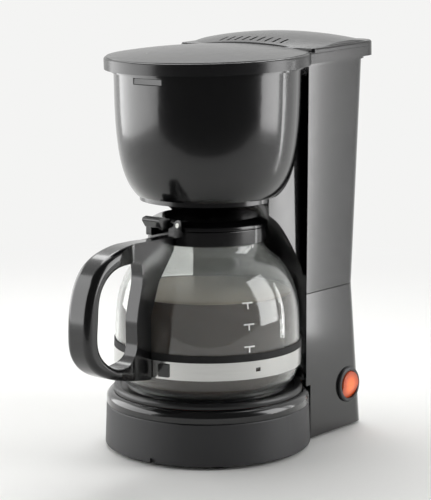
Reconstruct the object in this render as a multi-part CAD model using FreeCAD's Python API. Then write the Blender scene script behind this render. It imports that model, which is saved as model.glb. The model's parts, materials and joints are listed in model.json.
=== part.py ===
import FreeCAD, Part
import math
import os

# Drip coffee maker with a glass carafe, in millimetres.
# The origin is on the floor, on the axis of the warming plate and the carafe.
# +Z is up, the carafe handle points to -Y, the water tower stands at +Y and the switch is on +X.

# Driving dimensions: overall
OVERALL_HEIGHT = 258.0        # floor to the crown of the lid
FOOT_HEIGHT = 2.0             # gap under the base
WALL = 2.2                    # moulded walls
SEAM = 0.3                    # gap between neighbouring mouldings
CLEAR = 0.3                   # clearance between parts that move
PUSH = 0.05                   # radial clearance of push-on and pin fits

# Driving dimensions: base drum
SKIRT_R_BOTTOM = 65.2
SKIRT_R_TOP = 64.2
SKIRT_TOP = 28.4
DECK_TOP = 36.0
DECK_ROUND = 4.5
DECK_HOLE_R = 52.0

# Driving dimensions: warming plate
PLATE_TOP = 40.2              # surface the carafe stands on
PLATE_SHEET = 1.4
PLATE_FLAT_R = 49.0
PLATE_RING_R = 59.8
PLATE_RING_DROP = 0.3         # the rolled ring lies this far below the plate surface

# Driving dimensions: water tower
TOWER_BOTTOM_HALF = 50.0
TOWER_BOTTOM_REAR = 105.0
TOWER_WAIST_HALF = 46.5
TOWER_WAIST_REAR = 98.5
TOWER_WAIST_Z = 95.0
TOWER_TOP_HALF = 49.0
TOWER_TOP_REAR = 103.5
TOWER_CORNER_R = 11.0
TOWER_FRONT = 12.0            # the block starts here before the carafe bay is cut out of it
TANK_FLOOR = 70.0

# Driving dimensions: brew head
BUCKET_BOTTOM = 157.0
BUCKET_TOP = 238.0
BUCKET_FOOT_R = 42.5
BUCKET_TOP_R = 58.4
NECK_HALF = 42.4
NECK_BOTTOM = 104.0
FRAME_THICK = 3.8
FRAME_TOP = BUCKET_TOP + FRAME_THICK
TOP_TILT = 2.1                # the rim and the lid rise towards the back, in degrees
FRAME_LIP = 1.5
FRAME_LIP_HEIGHT = 2.5

# Driving dimensions: lid
LID_LIFT = 2.7                # brim above the frame
LID_EDGE_Z = FRAME_TOP + LID_LIFT    # brim of the front lobe, before the tilt
LID_STEP = 2.3                # the rear lobe stands this much higher
LID_STEP_Y = 38.0             # where it starts
LID_CROWN = 5.0               # rise of the front lobe
LID_EDGE_ROUND = 1.5
LID_SKIRT_DROP = 0.8          # the skirt reaches this far below the bucket's rim
LID_SKIRT_BOTTOM = BUCKET_TOP - LID_SKIRT_DROP
LID_FRONT_MARGIN = 5.6        # past the bucket's rim
LID_FRONT_R = BUCKET_TOP_R + LID_FRONT_MARGIN
LID_OVERHANG = 4.5            # past the tower's top
LID_WALL = 2.0
HINGE_LIFT = 0.2
HINGE_Z = BUCKET_TOP + HINGE_LIFT
HINGE_PIN_R = 1.5

# Driving dimensions: carafe
GLASS_R = 58.5
BAY_MARGIN = 4.0
BAY_R = GLASS_R + BAY_MARGIN  # concave front of the tower that hugs the carafe
GLASS_WALL = 2.0
GLASS_NECK_R = 35.0
GLASS_TOP = 139.0
BAND_BOTTOM = 54.0
BAND_HEIGHT = 11.0
BAND_SHEET = 0.8
CUSHION_HEIGHT = 4.2
CUSHION_SHEET = 0.5
HANDLE_WIDTH = 18.0
HANDLE_REACH = 121.0
HANDLE_BAR_WIDTH = 9.0        # the bar along the glass is slimmer than the grip
COLLAR_WALL = 2.6
COLLAR_R = GLASS_NECK_R + COLLAR_WALL
LID_RIM_LIFT = 2.6
LID_RIM_Z = GLASS_TOP + LID_RIM_LIFT
CARAFE_HINGE_OUT = 5.4        # past the collar
CARAFE_HINGE_Y = -COLLAR_R - CARAFE_HINGE_OUT
CARAFE_HINGE_LIFT = 4.4
CARAFE_HINGE_Z = LID_RIM_Z + CARAFE_HINGE_LIFT

# Driving dimensions: switch, on the tower's side wall
SWITCH_Y = 85.0
SWITCH_Z = 29.0
ROCKER_R = 8.9
BEZEL_WALL = 1.1              # from the rocker to the hole in the wall
BEZEL_FLANGE = 1.6
SWITCH_HOLE_R = ROCKER_R + BEZEL_WALL
SWITCH_FLANGE_R = SWITCH_HOLE_R + BEZEL_FLANGE
ROCKER_TILT = 8.0
ROCKER_PIN_R = 1.0

# Driving dimensions: water path
TUBE_R = 4.0
TUBE_BORE = 2.8
HOSE_WALL = 1.6
RISER_X = 16.0
TUBE_Y = 75.0
HEATER_R = 31.0
HEATER_WIDTH = 17.0
HEATER_HEIGHT = 14.0

# Driving dimensions: fasteners and gland
SCREW_R = 1.9
SCREW_HEAD_R = 3.4
SCREW_HEAD_H = 1.4
POST_R = 4.0
CORD_BORE_R = 3.6
GLAND_R = 7.0

FLOOR = FOOT_HEIGHT
Z_AXIS = FreeCAD.Vector(0, 0, 1)
ORIGIN = FreeCAD.Vector(0, 0, 0)


def vec(x, y, z):
    return FreeCAD.Vector(x, y, z)


def rounded_wire(corners, place):
    """A closed wire through corners (a, b, radius), each rounded by its own arc; place puts (a, b) in space."""
    count = len(corners)
    runs = []
    for i in range(count):
        a, b, radius = corners[i]
        here = FreeCAD.Vector(a, b, 0)
        before = FreeCAD.Vector(corners[i - 1][0], corners[i - 1][1], 0)
        after = FreeCAD.Vector(corners[(i + 1) % count][0], corners[(i + 1) % count][1], 0)
        to_before = (before - here).normalize()
        to_after = (after - here).normalize()
        if radius <= 0:
            runs.append((here, None, here))
            continue
        half = to_before.getAngle(to_after) / 2
        reach = radius / math.tan(half)
        middle = (to_before + to_after).normalize()
        centre = here + middle * (radius / math.sin(half))
        runs.append((here + to_before * reach, centre - middle * radius, here + to_after * reach))
    edges = []
    for i in range(count):
        start, crest, end = runs[i]
        if crest is not None:
            arc = Part.Arc(place(start.x, start.y), place(crest.x, crest.y), place(end.x, end.y))
            edges.append(arc.toShape())
        following = runs[(i + 1) % count][0]
        if (following - end).Length > 1e-6:
            edges.append(Part.makeLine(place(end.x, end.y), place(following.x, following.y)))
    return Part.Wire(edges)


def turned(corners, axis_y=0.0):
    """A solid of revolution about a vertical axis from corners (radius, height, rounding)."""
    wire = rounded_wire(corners, lambda r, z: vec(r, axis_y, z))
    return Part.Face(wire).revolve(vec(0, axis_y, 0), Z_AXIS, 360)


def plan_plate(corners, low, high):
    """An upright prism from plan corners (x, y, rounding)."""
    wire = rounded_wire(corners, lambda x, y: vec(x, y, low))
    return Part.Face(wire).extrude(vec(0, 0, high - low))


def side_plate(corners, left, right):
    """A prism along X from side corners (y, z, rounding)."""
    wire = rounded_wire(corners, lambda y, z: vec(left, y, z))
    return Part.Face(wire).extrude(vec(right - left, 0, 0))


def drum(radius, low, high, x=0.0, y=0.0):
    return Part.makeCylinder(radius, high - low, vec(x, y, low))


def pipe_z(outer, inner, low, high, x=0.0, y=0.0):
    return drum(outer, low, high, x, y).cut(drum(inner, low - 1, high + 1, x, y))


def rod_x(radius, left, right, y, z):
    return Part.makeCylinder(radius, right - left, vec(left, y, z), vec(1, 0, 0))


def rod_y(radius, near, far, x, z):
    return Part.makeCylinder(radius, far - near, vec(x, near, z), vec(0, 1, 0))


def block(x0, x1, y0, y1, z0, z1):
    return Part.makeBox(x1 - x0, y1 - y0, z1 - z0, vec(x0, y0, z0))


def moved_side(side, shrink):
    """A side line of (radius, height) points moved inwards along its own normal."""
    moved = []
    for i, (r, z) in enumerate(side):
        before, after = side[max(i - 1, 0)], side[min(i + 1, len(side) - 1)]
        run, climb = after[0] - before[0], after[1] - before[1]
        length = math.hypot(run, climb)
        moved.append((r - shrink * climb / length, z + shrink * run / length))
    return moved


def turned_smooth(side, others):
    """A solid of revolution with a smooth side; others are the corners from its end back to its start."""
    curve = Part.BSplineCurve()
    curve.interpolate([vec(r, 0, z) for r, z in side])
    chain = [side[-1]] + others + [side[0]]
    edges = [curve.toShape()]
    for (r0, z0), (r1, z1) in zip(chain, chain[1:]):
        if math.hypot(r1 - r0, z1 - z0) > 1e-6:
            edges.append(Part.makeLine(vec(r0, 0, z0), vec(r1, 0, z1)))
    return Part.Face(Part.Wire(edges)).revolve(ORIGIN, Z_AXIS, 360)


def save(name, shape):
    """Writes one node. A group of separate solids stays a compound."""
    os.makedirs("parts", exist_ok=True)
    solids = shape.Solids
    whole = solids[0] if len(solids) == 1 else Part.makeCompound(solids)
    whole.exportStep(f"parts/{name}.step")
    volume = sum(s.Volume for s in solids)
    print(f"{name}: {len(solids)} solid, {volume / 1000:.2f} cm3, valid {whole.isValid()}")


# The rim of bucket and tank lies in one plane that rises towards the back; it is drawn level and then tilted

RISE = math.tan(math.radians(TOP_TILT))
TOWER_TOP_Z = BUCKET_TOP + (TOWER_TOP_REAR + LID_FRONT_R) * RISE


def tilted(shape):
    leaned = shape.copy()
    leaned.rotate(vec(0, -LID_FRONT_R, BUCKET_TOP), vec(1, 0, 0), TOP_TILT)
    return leaned


def below_rim():
    """Everything under the tilted rim plane."""
    return tilted(block(-200, 200, -200, 300, -100, BUCKET_TOP))


# Water tower sections: a rounded rectangle in plan whose size changes with height


def tower_size(z):
    """Half width and rear face of the tower at height z: it narrows to a waist and widens again."""
    if z <= TOWER_WAIST_Z:
        share = (z - FLOOR) / (TOWER_WAIST_Z - FLOOR)
        low = (TOWER_BOTTOM_HALF, TOWER_BOTTOM_REAR)
        high = (TOWER_WAIST_HALF, TOWER_WAIST_REAR)
    else:
        share = (z - TOWER_WAIST_Z) / (TOWER_TOP_Z - TOWER_WAIST_Z)
        low = (TOWER_WAIST_HALF, TOWER_WAIST_REAR)
        high = (TOWER_TOP_HALF, TOWER_TOP_REAR)
    return [a + (b - a) * share for a, b in zip(low, high)]


def tower_corners(z, inset, front=TOWER_FRONT):
    half, rear = tower_size(z)
    half -= inset
    rear -= inset
    bend = TOWER_CORNER_R - inset
    return [(-half, front, 0), (half, front, 0), (half, rear, bend), (-half, rear, bend)]


def tower_loft(low, high, inset, front=TOWER_FRONT):
    wires = []
    for z in (low, high):
        wires.append(rounded_wire(tower_corners(z, inset, front), lambda x, y: vec(x, y, z)))
    return Part.makeLoft(wires, True, True)


# Base drum


def make_base_skirt():
    """Matte lower ring of the drum, open at the back for the hoses and leads."""
    ring = turned([
        (SKIRT_R_BOTTOM, FLOOR, 0.8),
        (SKIRT_R_TOP, SKIRT_TOP, 0.8),
        (SKIRT_R_TOP - WALL, SKIRT_TOP, 0),
        (SKIRT_R_BOTTOM - WALL, FLOOR, 0),
    ])
    window_half = TOWER_WAIST_HALF - 2 * WALL
    window = block(-window_half, window_half, DECK_HOLE_R / 2, SKIRT_R_BOTTOM + 1, FLOOR - 1, SKIRT_TOP + 1)
    notch_width, notch_height, notch_x = 4.0, 3.0, 9.0
    notch = block(
        notch_x - notch_width / 2, notch_x + notch_width / 2,
        -SKIRT_R_BOTTOM - 1, -SKIRT_R_BOTTOM + 2 * WALL + 1,
        FLOOR - 1, FLOOR + notch_height,
    )
    return ring.cut(window).cut(notch)


POST_PLACES = [(47.0, -32.0), (-47.0, -32.0)]     # deck posts that take the bottom screws
STRAP_MARGIN = 5.5            # from a strap screw to the deck's lip
STRAP_X = SKIRT_R_TOP - 2 * WALL - CLEAR - STRAP_MARGIN
STRAP_PLACES = [(STRAP_X, 0.0), (-STRAP_X, 0.0)]  # deck posts that take the heater strap
STRAP_SHEET = 1.5
DECK_UNDER = DECK_TOP - 2.0
STRAP_TOP = PLATE_TOP - PLATE_SHEET - HEATER_HEIGHT
COVER_TOP = FLOOR + 2.2


def make_base_deck():
    """Glossy shoulder of the drum, with a lip that centres it in the skirt and posts for the screws."""
    lip_r = SKIRT_R_TOP - WALL - CLEAR
    deck_r = SKIRT_R_TOP
    lip_drop = 4.0
    deck = turned([
        (deck_r, SKIRT_TOP + SEAM, 0),
        (deck_r, DECK_TOP, DECK_ROUND),
        (DECK_HOLE_R, DECK_TOP, 0),
        (DECK_HOLE_R, DECK_UNDER, 0),
        (lip_r - WALL, DECK_UNDER, 0),
        (lip_r - WALL, SKIRT_TOP - lip_drop, 0),
        (lip_r, SKIRT_TOP - lip_drop, 0),
        (lip_r, SKIRT_TOP + SEAM, 0),
    ])
    for x, y in POST_PLACES:
        deck = deck.fuse(pipe_z(POST_R, SCREW_R, COVER_TOP, DECK_UNDER, x, y))
    for x, y in STRAP_PLACES:
        deck = deck.fuse(pipe_z(POST_R, SCREW_R, STRAP_TOP, DECK_UNDER, x, y))
    window_half = TOWER_WAIST_HALF - 2 * WALL
    return deck.cut(block(-window_half, window_half, DECK_HOLE_R / 2, lip_r + 0.5, 0, DECK_UNDER))


REAR_POST_Y = 62.0
SIDE_SLOPE = math.degrees(math.atan2(TOWER_BOTTOM_HALF - TOWER_WAIST_HALF, TOWER_WAIST_Z - FLOOR))
GLAND_X, GLAND_Z = -24.0, 18.0


def at_switch(shape):
    """Turns a shape modelled about +X at the origin to stand square on the tower's sloping side wall."""
    placed = shape.copy()
    placed.rotate(ORIGIN, vec(0, 1, 0), -SIDE_SLOPE)
    placed.translate(vec(tower_size(SWITCH_Z)[0], SWITCH_Y, SWITCH_Z))
    return placed


def rear_slope_wall(z):
    return tower_size(z)[1]


def make_lower_tower():
    """Lower tower shell: concave front behind the carafe, open below the deck towards the drum."""
    outer = tower_loft(FLOOR, TOWER_WAIST_Z, 0)
    outer = outer.cut(drum(BAY_R, DECK_TOP, TOWER_WAIST_Z + 1))
    outer = outer.cut(drum(SKIRT_R_BOTTOM + SEAM, FLOOR - 1, DECK_TOP + SEAM))
    hollow = tower_loft(FLOOR, TOWER_WAIST_Z, WALL)
    hollow = hollow.cut(drum(BAY_R + WALL, DECK_TOP + SEAM, TOWER_WAIST_Z + 1))
    shell = outer.cut(hollow)
    for side in (1, -1):
        post_x = side * (TOWER_BOTTOM_HALF - WALL - POST_R)
        post_top = DECK_TOP + 4
        post = pipe_z(POST_R, SCREW_R, COVER_TOP, post_top, post_x, REAR_POST_Y)
        rib = block(
            min(post_x + side * POST_R * 0.6, side * (TOWER_BOTTOM_HALF - WALL / 2)),
            max(post_x + side * POST_R * 0.6, side * (TOWER_BOTTOM_HALF - WALL / 2)),
            REAR_POST_Y - WALL / 2, REAR_POST_Y + WALL / 2, COVER_TOP, post_top,
        )
        shell = shell.fuse(post).fuse(rib)
    shell = shell.common(tower_loft(FLOOR, TOWER_WAIST_Z, 0))
    shell = shell.cut(at_switch(rod_x(SWITCH_HOLE_R, -2 * WALL, 2 * WALL, 0, 0)))
    gland_start = rear_slope_wall(GLAND_Z) - 3 * WALL
    return shell.cut(rod_y(GLAND_R, gland_start, TOWER_BOTTOM_REAR + 1, GLAND_X, GLAND_Z))


FEET = [(38.0, -38.0), (-38.0, -38.0), (40.0, 90.0), (-40.0, 90.0)]


def bottom_screw_places():
    rear_x = TOWER_BOTTOM_HALF - WALL - POST_R
    return POST_PLACES + [(rear_x, REAR_POST_Y), (-rear_x, REAR_POST_Y)]


def make_bottom_cover():
    """Flat plate that closes the base from below, with cooling slots and screw holes."""
    round_part = drum(SKIRT_R_BOTTOM - WALL - CLEAR, FLOOR, COVER_TOP)
    tail = tower_loft(FLOOR, COVER_TOP, WALL + CLEAR)
    clearance = drum(SKIRT_R_BOTTOM - WALL - CLEAR, FLOOR - 1, COVER_TOP + 1)
    gap_half = TOWER_WAIST_HALF - 2 * WALL - CLEAR
    bridge = block(-gap_half, gap_half, 0, SKIRT_R_BOTTOM + 2 * SEAM + 1, FLOOR, COVER_TOP)
    tail = tail.cut(drum(SKIRT_R_BOTTOM + 2 * SEAM, FLOOR - 1, COVER_TOP + 1))
    cover = round_part.fuse(bridge.cut(clearance)).fuse(tail)
    slot_width, slot_length = 3.0, 34.0
    for y in (-18.0, -10.0, 10.0, 18.0):
        corners = [
            (-slot_length / 2, y - slot_width / 2, 1.2), (slot_length / 2, y - slot_width / 2, 1.2),
            (slot_length / 2, y + slot_width / 2, 1.2), (-slot_length / 2, y + slot_width / 2, 1.2),
        ]
        cover = cover.cut(plan_plate(corners, FLOOR - 1, COVER_TOP + 1))
    for x, y in bottom_screw_places():
        cover = cover.cut(drum(SCREW_R, FLOOR - 1, COVER_TOP + 1, x, y))
    return cover.removeSplitter()


def make_rubber_feet():
    foot_r, round_r = 6.5, 0.8
    feet = []
    for x, y in FEET:
        foot = turned([(0, 0, 0), (foot_r, 0, round_r), (foot_r, FLOOR, 0), (0, FLOOR, 0)])
        foot.translate(vec(x, y, 0))
        feet.append(foot)
    return Part.makeCompound(feet)


def screw_up(x, y, seat, length):
    """A pan-head screw driven upwards, its head against the face at height seat."""
    head = turned([
        (0, seat - SCREW_HEAD_H, 0), (SCREW_HEAD_R, seat - SCREW_HEAD_H, 0.7),
        (SCREW_HEAD_R, seat, 0), (0, seat, 0),
    ])
    cross_half, cross_deep = 0.45, 0.8
    low = seat - SCREW_HEAD_H
    for long_x, long_y in ((2.0, cross_half), (cross_half, 2.0)):
        head = head.cut(block(-long_x, long_x, -long_y, long_y, low - 1, low + cross_deep))
    shank = drum(SCREW_R - 0.05, seat, seat + length)
    screw = head.fuse(shank)
    screw.translate(vec(x, y, 0))
    return screw


def make_bottom_screws():
    return Part.makeCompound([screw_up(x, y, FLOOR, 14.0) for x, y in bottom_screw_places()])


# Warming plate and heater


def make_warming_plate():
    """Coated steel plate: a flat centre, a spill groove and a rolled ring at the edge."""
    ring_top = PLATE_TOP - PLATE_RING_DROP
    groove = PLATE_TOP - 1.6
    under = PLATE_TOP - PLATE_SHEET
    ring_in = PLATE_RING_R - 5.0
    foot = DECK_TOP + SEAM
    return turned([
        (0, PLATE_TOP, 0),
        (PLATE_FLAT_R, PLATE_TOP, 1.0),
        (PLATE_FLAT_R + 1.6, groove, 1.0),
        (ring_in, groove, 0.8),
        (ring_in + 1.0, ring_top, 1.0),
        (PLATE_RING_R, ring_top, 2.2),
        (PLATE_RING_R, foot, 0),
        (PLATE_RING_R - PLATE_SHEET, foot, 0),
        (PLATE_RING_R - PLATE_SHEET, groove - PLATE_SHEET, 0),
        (PLATE_FLAT_R, groove - PLATE_SHEET, 0),
        (PLATE_FLAT_R - 1.0, under, 0),
        (0, under, 0),
    ])


def make_plate_seal():
    """Flat silicone ring between the plate's ring and the deck."""
    inner, outer = DECK_HOLE_R + 1.0, PLATE_RING_R - PLATE_SHEET - CLEAR
    return pipe_z(outer, inner, DECK_TOP, PLATE_TOP - 1.6 - PLATE_SHEET)


HEATER_TOP = PLATE_TOP - PLATE_SHEET
HEATER_MID = DECK_UNDER - TUBE_R - HOSE_WALL - CLEAR      # the hoses pass just under the deck
HEATER_END_Y = 22.0           # straight ends of the heater stop here
WATER_R = HEATER_R + HEATER_WIDTH / 4     # the water passage is the outer half of the casting
ROD_R = HEATER_R - HEATER_WIDTH / 4       # the heating rod is the inner half


def horseshoe(mid_r, half_width, low, high, end_y):
    """A ring open towards the tower, with straight legs running back to end_y."""
    ring = pipe_z(mid_r + half_width, mid_r - half_width, low, high)
    ring = ring.cut(block(-2 * mid_r, 2 * mid_r, 0, 2 * mid_r, low - 1, high + 1))
    for side in (1, -1):
        x = side * mid_r
        ring = ring.fuse(block(x - half_width, x + half_width, 0, end_y, low, high))
    return ring.removeSplitter()


def make_heater_element():
    """Aluminium casting pressed under the plate, with a water passage from leg to leg."""
    body = horseshoe(HEATER_R, HEATER_WIDTH / 2, HEATER_TOP - HEATER_HEIGHT, HEATER_TOP, HEATER_END_Y)
    legs = []
    nipple_length = 9.0
    for side in (1, -1):
        legs.append(rod_y(TUBE_R, HEATER_END_Y - 1, HEATER_END_Y + nipple_length, side * WATER_R, HEATER_MID))
    body = body.fuse(legs[0]).fuse(legs[1])
    half_ring = Part.makeTorus(WATER_R, TUBE_BORE, vec(0, 0, HEATER_MID), Z_AXIS)
    half_ring = half_ring.cut(block(-80, 80, 0, 80, 0, 80))
    passage = half_ring
    for side in (1, -1):
        bore = rod_y(TUBE_BORE, 0, HEATER_END_Y + nipple_length + 1, side * WATER_R, HEATER_MID)
        passage = passage.fuse(bore)
    return body.cut(passage).removeSplitter()


def make_heater_terminals():
    """Ceramic end beads of the heating rod with their spade tabs."""
    bead_length, tab_length = 5.0, 8.0
    bead_r = WATER_R - ROD_R - TUBE_R - HOSE_WALL - PUSH - CLEAR
    pieces = []
    for side in (1, -1):
        bead = rod_y(bead_r, HEATER_END_Y, HEATER_END_Y + bead_length, side * ROD_R, HEATER_MID)
        x = side * ROD_R
        tab = block(
            x - 0.4, x + 0.4, HEATER_END_Y + bead_length, HEATER_END_Y + bead_length + tab_length,
            HEATER_MID - 2.4, HEATER_MID + 2.4,
        )
        pieces.append(bead.fuse(tab))
    return Part.makeCompound(pieces)


def make_heater_strap():
    """Steel strap that pulls the heater up against the plate."""
    half_length = STRAP_X + STRAP_MARGIN - 0.5
    half_width = 6.0
    corners = [(-half_length, -half_width, 2), (half_length, -half_width, 2)]
    corners += [(half_length, half_width, 2), (-half_length, half_width, 2)]
    strap = plan_plate(corners, STRAP_TOP - STRAP_SHEET, STRAP_TOP)
    for x, y in STRAP_PLACES:
        strap = strap.cut(drum(SCREW_R, STRAP_TOP - 5, STRAP_TOP + 5, x, y))
    return strap


def make_strap_screws():
    return Part.makeCompound([screw_up(x, y, STRAP_TOP - STRAP_SHEET, 6.0) for x, y in STRAP_PLACES])


THERMOSTAT_Y = -HEATER_R


def make_thermostat():
    """Snap-disc thermostat under the front of the heater, with two spade tabs."""
    top = HEATER_TOP - HEATER_HEIGHT
    can = turned([(0, top - 6.5, 0), (7.5, top - 6.5, 1.0), (7.5, top, 0), (0, top, 0)])
    can = can.fuse(pipe_z(8.4, 6.0, top - 2.0, top))
    for side in (1, -1):
        can = can.fuse(block(side * 5 - 2.4, side * 5 + 2.4, -0.4, 0.4, top - 12.0, top - 6.0))
    can.translate(vec(0, THERMOSTAT_Y, 0))
    return can


FUSE_LENGTH = 14.0


def make_thermal_fuse():
    """Thermal fuse in its glass-fibre sleeve, lying along one leg of the heater."""
    sleeve_r = 2.6
    low = HEATER_TOP - HEATER_HEIGHT - sleeve_r
    end = HEATER_END_Y - 1 - CLEAR
    return rod_y(sleeve_r, end - FUSE_LENGTH, end, -HEATER_R, low)


# Water path inside the tower


def bent_hose(points, radius, bore, bend):
    """A hose along straight runs joined by arcs of radius bend."""
    edges = []
    start = points[0]
    for i in range(1, len(points) - 1):
        here = points[i]
        back = (points[i - 1] - here).normalize()
        ahead = (points[i + 1] - here).normalize()
        half = back.getAngle(ahead) / 2
        reach = bend / math.tan(half)
        middle = (back + ahead).normalize()
        crest = here + middle * (bend / math.sin(half) - bend)
        edges.append(Part.makeLine(start, here + back * reach))
        edges.append(Part.Arc(here + back * reach, crest, here + ahead * reach).toShape())
        start = here + ahead * reach
    edges.append(Part.makeLine(start, points[-1]))
    path = Part.Wire(edges)
    tangent = (points[1] - points[0]).normalize()
    skins = []
    for r in (radius, bore):
        ring = Part.Wire([Part.Circle(points[0], tangent, r).toShape()])
        skins.append(path.makePipeShell([ring], True, False))
    return skins[0].cut(skins[1])


VALVE_LOW = 50.0              # check valve body, hung on the tank's outlet
VALVE_HIGH = 66.0
VALVE_R = 6.4
BALL_R = 2.5
NIPPLE_END = HEATER_END_Y + 9.0
NIPPLE_LAP = 7.0              # how far a hose is pushed on
HOSE_BEND = 9.0


def offset_hose(side_x, tube_x, top):
    """A hose from a heater nipple at side_x to a tube end at tube_x, with one level sideways jog."""
    jog_start, jog_end = NIPPLE_END + 6.0, TUBE_Y
    return [
        vec(side_x, NIPPLE_END - NIPPLE_LAP, HEATER_MID),
        vec(side_x, jog_start, HEATER_MID),
        vec(tube_x, jog_end, HEATER_MID),
        vec(tube_x, jog_end, top),
    ]


def make_hose(side, top):
    """Silicone hose with a stretched cuff over the heater's nipple."""
    route = offset_hose(side * WATER_R, side * RISER_X, top)
    return bent_hose(route, TUBE_R + HOSE_WALL, TUBE_R + PUSH, HOSE_BEND)


RISER_LOW = 46.0
RISER_TOP = 244.0


def make_riser_tube():
    """Tube that carries hot water up through the tank to the lid."""
    return pipe_z(TUBE_R, TUBE_BORE, RISER_LOW, RISER_TOP, RISER_X, TUBE_Y)


def make_riser_grommet():
    """Seal where the riser passes the tank floor."""
    low, high = TANK_FLOOR - 2.0, TANK_FLOOR + WALL + 2.0
    ring = pipe_z(TUBE_R + 4.0, TUBE_R + PUSH, low, high, RISER_X, TUBE_Y)
    groove = pipe_z(TUBE_R + 6.0, TUBE_R + 2.4, TANK_FLOOR, TANK_FLOOR + WALL, RISER_X, TUBE_Y)
    return ring.cut(groove)


def make_check_valve_body():
    """One-way valve: a barrel with a cone seat below the tank outlet and a hose tail."""
    barrel = drum(VALVE_R, VALVE_LOW, VALVE_HIGH, -RISER_X, TUBE_Y)
    tail = drum(TUBE_R, VALVE_LOW - NIPPLE_LAP, VALVE_LOW, -RISER_X, TUBE_Y)
    body = barrel.fuse(tail)
    socket = drum(TUBE_R + PUSH, VALVE_HIGH - 6.0, VALVE_HIGH + 1, -RISER_X, TUBE_Y)
    chamber = drum(BALL_R + 0.8, VALVE_LOW + 3.0, VALVE_HIGH - 5.0, -RISER_X, TUBE_Y)
    bore = drum(BALL_R - 0.7, VALVE_LOW - NIPPLE_LAP - 1, VALVE_HIGH, -RISER_X, TUBE_Y)
    return body.cut(socket).cut(chamber).cut(bore)


BALL_SEAT_Z = VALVE_LOW + 3.0 + math.sqrt(BALL_R ** 2 - (BALL_R - 0.7) ** 2)


def make_check_valve_ball():
    return Part.makeSphere(BALL_R - 0.02, vec(-RISER_X, TUBE_Y, BALL_SEAT_Z + 0.05))


def make_reservoir():
    """Water tank: the upper tower is its wall, and a narrower well reaches down into the lower tower."""
    low = TOWER_WAIST_Z + 2 * SEAM
    well_gap = WALL + CLEAR
    outer = tower_loft(low, TOWER_TOP_Z, 0).cut(drum(BAY_R, low - 1, TOWER_TOP_Z + 1)).common(below_rim())
    well = tower_loft(TANK_FLOOR, TOWER_WAIST_Z, well_gap)
    well_top = tower_corners(TOWER_WAIST_Z, well_gap)
    well = well.fuse(plan_plate(well_top, TOWER_WAIST_Z, low + WALL))
    well = well.cut(drum(BAY_R + well_gap, TANK_FLOOR - 1, low + WALL + 1))
    hollow = tower_loft(low + WALL, TOWER_TOP_Z, WALL).cut(drum(BAY_R + WALL, low, TOWER_TOP_Z + 1))
    pit = tower_loft(TANK_FLOOR + WALL, TOWER_WAIST_Z, well_gap + WALL)
    pit_top = tower_corners(TOWER_WAIST_Z, well_gap + WALL)
    pit = pit.fuse(plan_plate(pit_top, TOWER_WAIST_Z, low + WALL))
    pit = pit.cut(drum(BAY_R + well_gap + WALL, TANK_FLOOR, low + WALL + 1))
    tank = outer.fuse(well).cut(hollow).cut(pit)
    tank = tank.fuse(drum(TUBE_R, VALVE_HIGH - 6.0, TANK_FLOOR + 0.5, -RISER_X, TUBE_Y))
    tank = tank.cut(drum(TUBE_BORE, VALVE_HIGH - 8.0, TANK_FLOOR + 2 * WALL, -RISER_X, TUBE_Y))
    tank = tank.cut(drum(TUBE_R + 2.4 + PUSH, TANK_FLOOR - 1, TANK_FLOOR + 2 * WALL, RISER_X, TUBE_Y))
    tank = tank.fuse(tilted(hinge_ears()))
    return tank.removeSplitter()


HINGE_Y = TOWER_TOP_REAR + 4.4
EAR_INNER, EAR_OUTER = 24.0, 30.0
EAR_R = 3.6


def hinge_ears():
    """Two ears on the back of the tank that hold the lid's hinge pin."""
    ears = None
    for side in (1, -1):
        left, right = sorted((side * EAR_INNER, side * EAR_OUTER))
        rear = rear_slope_wall(HINGE_Z - 3 * EAR_R) - WALL / 2
        arm = side_plate([
            (rear, HINGE_Z - 3 * EAR_R, 0), (HINGE_Y + EAR_R, HINGE_Z - EAR_R, 1.0),
            (HINGE_Y + EAR_R, HINGE_Z, 0), (HINGE_Y, HINGE_Z, 0),
            (rear, BUCKET_TOP - FRAME_LIP_HEIGHT - 1, 0),
        ], left, right)
        ear = arm.fuse(rod_x(EAR_R, left, right, HINGE_Y, HINGE_Z))
        ear = ear.cut(rod_x(HINGE_PIN_R + 0.03, left - 1, right + 1, HINGE_Y, HINGE_Z))
        ears = ear if ears is None else ears.fuse(ear)
    return ears


def neck_form(inset):
    """Form of the neck, or its hollow: a cone over the carafe's shoulder and a throat round its lid."""
    front = 4.0
    top = BUCKET_TOP - FRAME_LIP_HEIGHT - 3.0 - inset
    cone_top = BUCKET_BOTTOM - 8.0
    throat_r = BUCKET_FOOT_R + 0.5
    body = block(-NECK_HALF + inset, NECK_HALF - inset, front, BAY_R + 1, NECK_BOTTOM, top)
    body = body.common(drum(BAY_R - SEAM + inset, NECK_BOTTOM, top))
    cone_height = cone_top - NECK_BOTTOM
    cone = Part.makeCone(BAY_R + 0.5 + inset, throat_r + inset, cone_height, vec(0, 0, NECK_BOTTOM))
    return body.cut(cone).cut(drum(throat_r + inset, cone_top, top + 1)).cut(bucket_outer(SEAM + inset))


def make_neck():
    """Bracket from the tower to the brew bucket: its hollow front follows the carafe's shoulder."""
    return neck_form(0).cut(neck_form(WALL))


# Brew bucket, filter basket and drip valve

BASKET_SEAT = 228.0           # ledge in the bucket that carries the basket
FUNNEL_HOLE_R = 12.0


BUCKET_HIGH = BUCKET_TOP + (BUCKET_TOP_R + LID_FRONT_R) * RISE + 1.0


BUCKET_SIDE = [
    (BUCKET_FOOT_R + 2.3, BUCKET_BOTTOM + 3.6), (BUCKET_TOP_R - 10.3, BUCKET_BOTTOM + 8.0),
    (BUCKET_TOP_R - 6.9, BUCKET_BOTTOM + 15.0), (BUCKET_TOP_R - 4.5, BUCKET_BOTTOM + 23.0),
    (BUCKET_TOP_R - 2.2, BUCKET_BOTTOM + 37.0), (BUCKET_TOP_R - 0.8, BUCKET_BOTTOM + 57.0),
    (BUCKET_TOP_R, BUCKET_HIGH),
]


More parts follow.
